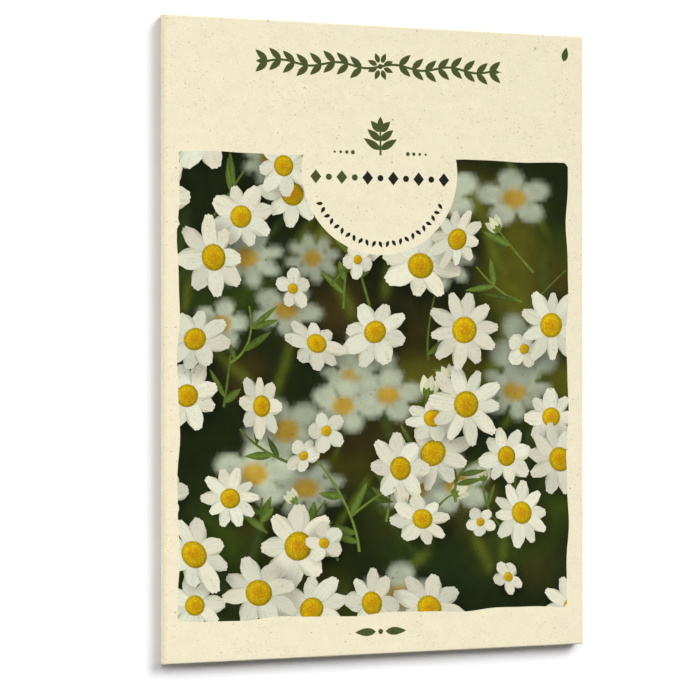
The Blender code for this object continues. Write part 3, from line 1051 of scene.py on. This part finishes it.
def husk():
    """Dry seed husk with an uneven tone and a fine relief."""
    n = Nodes("husk")
    tone = n.noise(0.9, 3.0)
    colour = n.mix(n.ramp(tone, 0.3, 0.7), linear(112, 88, 48), linear(170, 142, 92))
    return n.finish(colour, n.ramp(tone, 0.3, 0.7, 0.55, 0.75), 0.4, 0.00005, n.noise(0.12, 2.0))


def clear_film(name, dark, pale, roughness):
    """Dried glue or tape: slightly uneven, glossier than the paper."""
    n = Nodes(name, on_sheet=False)
    ripple = n.noise(0.7, 2.0)
    colour = n.mix(n.ramp(n.noise(2.4, 4.0, 0.6), 0.3, 0.7), dark, pale)
    return n.finish(colour, n.ramp(ripple, 0.3, 0.7, roughness, roughness + 0.12), 0.3, 0.0001, ripple)


def sachet_height(x, y, low, high):
    """A film's swell above its flat seal, from 0 to 1, and its crumpling."""
    seal = 7.0
    half_w, half_h = (high.x - low.x) / 2 - seal, (high.y - low.y) / 2 - seal
    u = max(-1.0, min(1.0, x / half_w))
    v = max(-1.0, min(1.0, (y - (low.y + high.y) / 2) / half_h))
    swell = math.sin(math.pi / 2 * (1 - abs(u) ** 2.6)) * math.sin(math.pi / 2 * (1 - abs(v) ** 3.2))
    broad, fine = noise.noise(Vector((x / 9, y / 13, 1.0))), noise.noise(Vector((x / 3, y / 5, 2.0)))
    return swell, 0.10 * broad + 0.04 * fine


def build_sachet():
    """Two films, sealed round the rim with a fine crimp. Only the front one swells."""
    material = glassine()
    front_low, front_high = span("sachet_front_film")
    back_high = span("sachet_back_film")[1]
    film, headroom, seal_gap = 0.06, 0.25, 0.08
    rise = front_high.z - front_low.z - headroom
    for node, floor, scale in (("sachet_front_film", front_low.z + seal_gap, rise),
                               ("sachet_back_film", back_high.z, 0.0)):
        bm, layers = new_sheet()
        low, high = span(node)
        rows = []
        for y in between(low.y, high.y, 92):
            row = []
            for x in between(low.x, high.x, 62):
                swell, crush = sachet_height(x, y, low, high)
                crimp = 0.02 * (1 - min(1.0, 4 * swell)) * math.sin(2 * math.pi * y / 2.2)
                row.append(add_corner(bm, layers, x, y, floor + scale * (0.94 + crush) * swell + crimp))
            rows.append(row)
        add_grid(bm, rows, False)
        # Both films face up
        turn_outwards(bm, (0, 0, -1000))
        paper = make_sheet(node.replace("_film", "_paper"), bm, film, [material])
        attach(paper, "packet")
        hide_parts(node)


def add_seed(bm, layers, place, length, thick, heading, bow):
    """One slightly bent seed that lies flat, as a prism with tapered ends."""
    sides, steps = 5, 3
    loops = []
    for t in between(-1, 1, steps):
        out = thick * math.sqrt(max(0.0, 1 - 0.92 * t * t))
        row = []
        for around in between(0, 2 * math.pi, sides)[:-1]:
            x, y = turn(t * length / 2, out * math.cos(around) + bow * (1 - t * t), heading)
            row.append(add_corner(bm, layers, place.x + x, place.y + y, place.z + out * math.sin(around)))
        loops.append(row)
    for a, b in zip(loops, loops[1:]):
        for k in range(sides):
            after = (k + 1) % sides
            bm.faces.new((a[k], a[after], b[after], b[k])).smooth = True
    bm.faces.new(loops[0][::-1])
    bm.faces.new(loops[-1])


def build_seeds():
    """Loose seeds inside the sachet, thickest in its middle and near its lower film."""
    rng = random.Random(11)
    low, high = span("seeds")
    centre, half = (low + high) / 2, (high - low) / 2
    # How far the seeds' middles stay from the heap's top and underside
    top_gap, low_gap = 0.28, 0.22
    bm, layers = new_sheet()
    for _ in range(SEED_COUNT):
        reach, angle = math.sqrt(rng.random()) * 0.96, rng.uniform(0, 2 * math.pi)
        depth = (high.z - low.z - top_gap - low_gap) * (1 - reach ** 2.4)
        place = Vector((
            centre.x + half.x * reach * math.cos(angle),
            centre.y + half.y * reach * math.sin(angle),
            low.z + low_gap + depth * rng.random() ** 1.5,
        ))
        length, thick = rng.uniform(0.9, 1.25), rng.uniform(0.15, 0.2)
        heading, bow = rng.uniform(0, 2 * math.pi), rng.uniform(-0.10, 0.10)
        add_seed(bm, layers, place, length, thick, heading, bow)
    bmesh.ops.recalc_face_normals(bm, faces=bm.faces)
    seeds = make_object("loose_seeds", bm, [husk()])
    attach(seeds, "packet")
    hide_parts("seeds")


def finish_glue():
    """The glue strips and the flap's tape keep their CAD shape."""
    glue = clear_film("glue_film", linear(206, 190, 146), linear(226, 214, 176), 0.28)
    tape = clear_film("tape_film", linear(228, 228, 218), linear(240, 240, 234), 0.2)
    for node, material in (("back_seam_glue", glue), ("bottom_flap_glue", glue),
                           ("flap_adhesive_strip", tape)):
        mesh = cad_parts[node].data
        mesh.materials.clear()
        mesh.materials.append(material)


# Camera, floor and light

def build_stage():
    """A white floor that the packet lies on."""
    bpy.ops.mesh.primitive_plane_add(size=6.0, location=(0, 0, -0.00002))
    floor = bpy.context.object
    floor.name = "floor"
    n = Nodes("white_floor", on_sheet=False)
    tone = n.noise(40.0, 2.0)
    n.put(n.shader.inputs["Base Color"], n.mix(tone, (0.89, 0.89, 0.90), (0.91, 0.91, 0.92)))
    n.shader.inputs["Roughness"].default_value = 0.9
    n.shader.inputs["Specular IOR Level"].default_value = 0.1
    floor.data.materials.append(n.material)


def add_light(name, kind, source, strength):
    """A light that shines on the packet from a place or a direction."""
    data = bpy.data.lights.new(name, kind)
    data.energy = strength
    light = bpy.data.objects.new(name, data)
    light.rotation_mode = "QUATERNION"
    light.rotation_quaternion = Vector(source).to_track_quat("Z", "Y")
    bpy.context.collection.objects.link(light)
    return light


def add_sun(name, direction, strength, soft_degrees):
    """A distant soft light that comes from a direction."""
    add_light(name, "SUN", direction, strength).data.angle = math.radians(soft_degrees)


def add_panel(name, place, size, power):
    """A square light panel that faces the packet. place and size are metres."""
    light = add_light(name, "AREA", place, power)
    light.data.size = size
    light.location = place
    light.visible_camera = False


def build_light():
    """Two soft keys from past the packet's top, low panels at its left and past its foot, a faint room."""
    add_sun("right_key", (0.80, 0.84, 1.0), 3.60, 38)
    add_sun("left_key", (-0.44, 0.80, 1.0), 1.30, 40)
    add_panel("left_panel", (-0.45, 0.0, 0.10), 0.16, 0.89)
    add_panel("foot_panel", (0.22, -0.22, 0.08), 0.12, 0.09)
    world = bpy.data.worlds.new("room")
    world.use_nodes = True
    background = world.node_tree.nodes["Background"]
    background.inputs["Color"].default_value = (0.80, 0.82, 1.0, 1.0)
    background.inputs["Strength"].default_value = 0.05
    bpy.context.scene.world = world
    bpy.context.scene.view_settings.view_transform = "Standard"


def build_camera():
    """The photograph's view, from above and a little from the left."""
    data = bpy.data.cameras.new("camera")
    data.lens = CAMERA_LENS
    data.sensor_width = SENSOR
    data.clip_start = 0.01
    camera = bpy.data.objects.new("camera", data)
    camera.location = [value * MM for value in CAMERA_PLACE]
    camera.rotation_euler = [math.radians(angle) for angle in CAMERA_TURN]
    bpy.context.collection.objects.link(camera)
    bpy.context.scene.camera = camera


build_packet()
build_closure()
build_sachet()
build_seeds()
finish_glue()
build_stage()
build_light()
build_camera()
